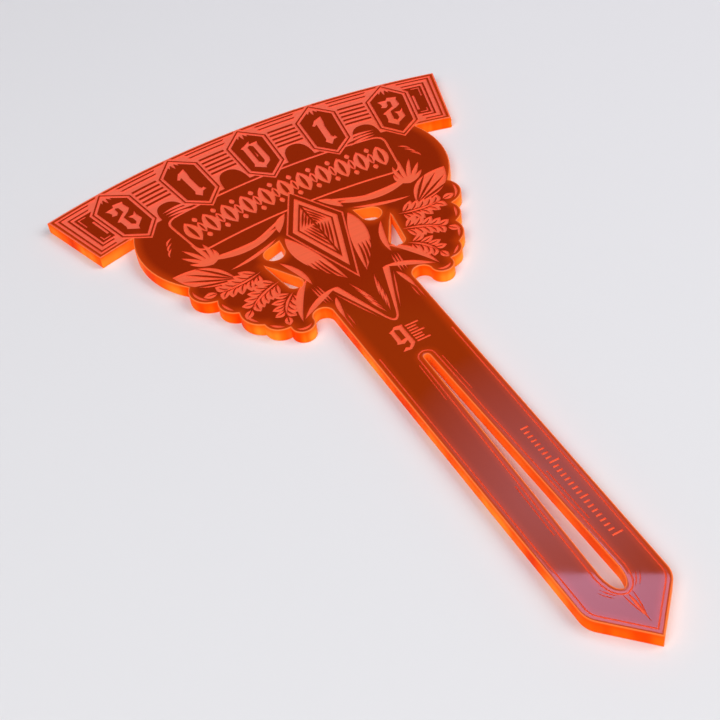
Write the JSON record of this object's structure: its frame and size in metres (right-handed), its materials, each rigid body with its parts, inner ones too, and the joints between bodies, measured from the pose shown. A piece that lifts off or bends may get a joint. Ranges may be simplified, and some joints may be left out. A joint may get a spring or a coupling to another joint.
{
  "type": "engraved acrylic measuring ruler",
  "caption": "Flat axe-shaped measuring ruler: a tapered pointed handle with a slot, a leafy head, and an arc-shaped blade with numbered cartouches an inch apart.",
  "frame": {"origin": "the point of the handle, on the flat rest face: the blade's outer arc is centred here", "axes": "+Y along the handle from the point to the blade, +Z out of the engraved face, +X to the right of the numerals read upright"},
  "size_m": [0.1368, 0.2286, 0.004],
  "materials": {
    "fluorescent_acrylic": "polished, with frosted engraving and glowing cut edges"
  },
  "bodies": {
    "root": {"ruler_plate": "fluorescent_acrylic"}
  },
  "joints": []
}
